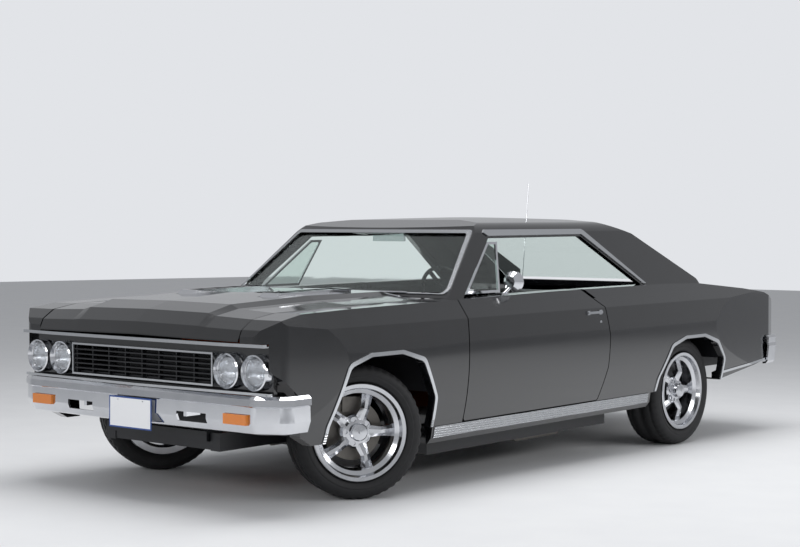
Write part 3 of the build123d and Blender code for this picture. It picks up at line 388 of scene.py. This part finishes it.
# columns: wheel, tread radius, width
tyre_sizes = [
    ("front_left", 0.330, 0.215),
    ("front_right", 0.330, 0.215),
    ("rear_left", 0.336, 0.240),
    ("rear_right", 0.336, 0.240),
]
for wheel_name, radius, width in tyre_sizes:
    joint = joints["spin_" + wheel_name]
    centre = Vector(joint["pos_m"])
    axis = Vector(joint["axis"]).normalized()
    aside = axis.cross(Vector((0, 0, 1))).normalized()
    half = width / 2
    # columns: share of the half width, radius, 1 where the cross cuts reach
    bead_seat = [(0.83, bead, 0), (0.93, bead + 0.012, 0), (0.985, bead + 0.030, 0)]
    moulded_ring = [(0.99, bead + 0.034, 0), (0.975, bead + 0.036, 0), (0.985, bead + 0.040, 0)]
    sidewall = [(0.985, bead + 0.052, 0), (0.93, radius - 0.022, 0)]
    shoulder = [(0.86, radius - 0.012, 1), (0.76, radius - 0.005, 1), (0.62, radius - 0.001, 1)]
    side_groove = [(0.60, radius - groove_depth, 0), (0.55, radius - groove_depth, 0)]
    rib_and_middle_groove = [(0.53, radius - 0.0005, 0), (0.14, radius, 0), (0.12, radius - groove_depth, 0)]
    half_profile = bead_seat + moulded_ring + sidewall + shoulder + side_groove + rib_and_middle_groove
    profile = half_profile + [(-share, reach, cuts) for share, reach, cuts in reversed(half_profile)]
    builder = bmesh.new()
    hoops = []
    for n in range(steps_round):
        turn = 2 * pi * n / steps_round
        outward = aside * cos(turn) + Vector((0, 0, 1)) * sin(turn)
        cut = cut_depth if n % steps_between_cuts == 0 else 0.0
        hoops.append([builder.verts.new(centre + axis * (share * half) + outward * (reach - cut * cuts))
                      for share, reach, cuts in profile])
    for n in range(steps_round):
        here = hoops[n]
        there = hoops[(n + 1) % steps_round]
        for k in range(len(profile)):
            after = (k + 1) % len(profile)
            builder.faces.new((here[k], there[k], there[after], here[after]))
    tread = new_mesh(f"tyre_tread_{wheel_name}", builder, rubber)
    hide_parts("tyre_" + wheel_name)
    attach(tread, "wheel_" + wheel_name)

# Dashboard, rear shelf and seats: foam under black vinyl with a fine pore. The seats are two buckets and a
# rear bench, sewn into upright channels, and their edges are soft and round.
material, tree, place = start_material("black_vinyl")
pores = add(tree, "ShaderNodeTexVoronoi", {"Scale": 420.0}, {"Vector": place})
pore_bump = add(tree, "ShaderNodeBump", {"Strength": 0.25, "Distance": 0.0006},
                {"Height": pores.outputs["Distance"]})
crease = add(tree, "ShaderNodeTexNoise", {"Scale": 9.0, "Detail": 4.0}, {"Vector": place})
vinyl_tint = add(tree, "ShaderNodeMix", {"data_type": "RGBA", 6: linear("#131314"), 7: linear("#222224")},
                 {0: crease.outputs["Fac"]})
vinyl_rough = add(tree, "ShaderNodeMapRange", {"To Min": 0.34, "To Max": 0.5},
                  {"Value": crease.outputs["Fac"]})
vinyl_shader = add(tree, "ShaderNodeBsdfPrincipled", {},
                   {"Base Color": vinyl_tint.outputs[2], "Roughness": vinyl_rough.outputs[0],
                    "Normal": pore_bump.outputs[0]})
vinyl = close_material(material, tree, vinyl_shader)
finish_nodes(vinyl, "dashboard", "rear_shelf")
channel_width = 0.062
steps_across = 48
steps_along = 20
# columns: name, its two x, low or front edge (y, z), high or rear edge (y, z), thickness, the CAD node it
# stands for
cushions = [
    ("seat_base_left", 0.175, 0.685, (-0.32, 0.385), (0.20, 0.375), 0.14, "front_seats"),
    ("seat_back_left", 0.175, 0.685, (0.135, 0.40), (0.245, 0.925), 0.12, "front_seats"),
    ("seat_base_right", -0.685, -0.175, (-0.32, 0.385), (0.20, 0.375), 0.14, "front_seats"),
    ("seat_back_right", -0.685, -0.175, (0.135, 0.40), (0.245, 0.925), 0.12, "front_seats"),
    ("rear_seat_base", -0.52, 0.52, (0.57, 0.45), (0.95, 0.44), 0.10, "rear_seat"),
    ("rear_seat_back", -0.52, 0.52, (0.93, 0.50), (1.075, 0.945), 0.11, "rear_seat"),
]
for cushion_name, x0, x1, foot, head, thick, stands_for in cushions:
    along = Vector((0, head[0] - foot[0], head[1] - foot[1]))
    length = along.length
    along.normalize()
    padded_side = Vector((1, 0, 0)).cross(along).normalized()
    builder = bmesh.new()
    for side_sign in (1, -1):
        rows = []
        for i in range(steps_across + 1):
            s = i / steps_across
            x = x0 + (x1 - x0) * s
            row = []
            for j in range(steps_along + 1):
                t = j / steps_along
                side_rounding = min(1.0, (4 * min(s, 1 - s) * 2.2) ** 0.5)
                end_rounding = min(1.0, (4 * min(t, 1 - t) * 1.6) ** 0.5)
                rounding = side_rounding * end_rounding
                channelled = 0.12 < t < 0.9 and 0.1 < s < 0.9
                pleat = abs(sin(pi * (x - x0) / channel_width)) ** 0.5 if channelled else 1.0
                lift = thick * 0.5 * rounding * (0.9 + 0.1 * pleat if side_sign > 0 else 0.85)
                row.append(builder.verts.new(
                    Vector((x, foot[0], foot[1])) + along * (length * t) + padded_side * (side_sign * lift)))
            rows.append(row)
        for i in range(steps_across):
            for j in range(steps_along):
                builder.faces.new((rows[i][j], rows[i + 1][j], rows[i + 1][j + 1], rows[i][j + 1]))
    bmesh.ops.remove_doubles(builder, verts=builder.verts, dist=0.0004)
    cushion = new_mesh(cushion_name, builder, vinyl)
    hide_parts(stands_for)
    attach(cushion, "body")

# Steering wheel: hard moulded rubber on a steel core, worn glossy where it is held.
material, tree, place = start_material("moulded_hard_rubber")
hand = add(tree, "ShaderNodeTexNoise", {"Scale": 25.0}, {"Vector": place})
hand_rough = add(tree, "ShaderNodeMapRange", {"To Min": 0.18, "To Max": 0.34}, {"Value": hand.outputs["Fac"]})
grip_shader = add(tree, "ShaderNodeBsdfPrincipled", {"Base Color": linear("#17171A")},
                  {"Roughness": hand_rough.outputs[0]})
finish_nodes(close_material(material, tree, grip_shader), "steering_wheel")
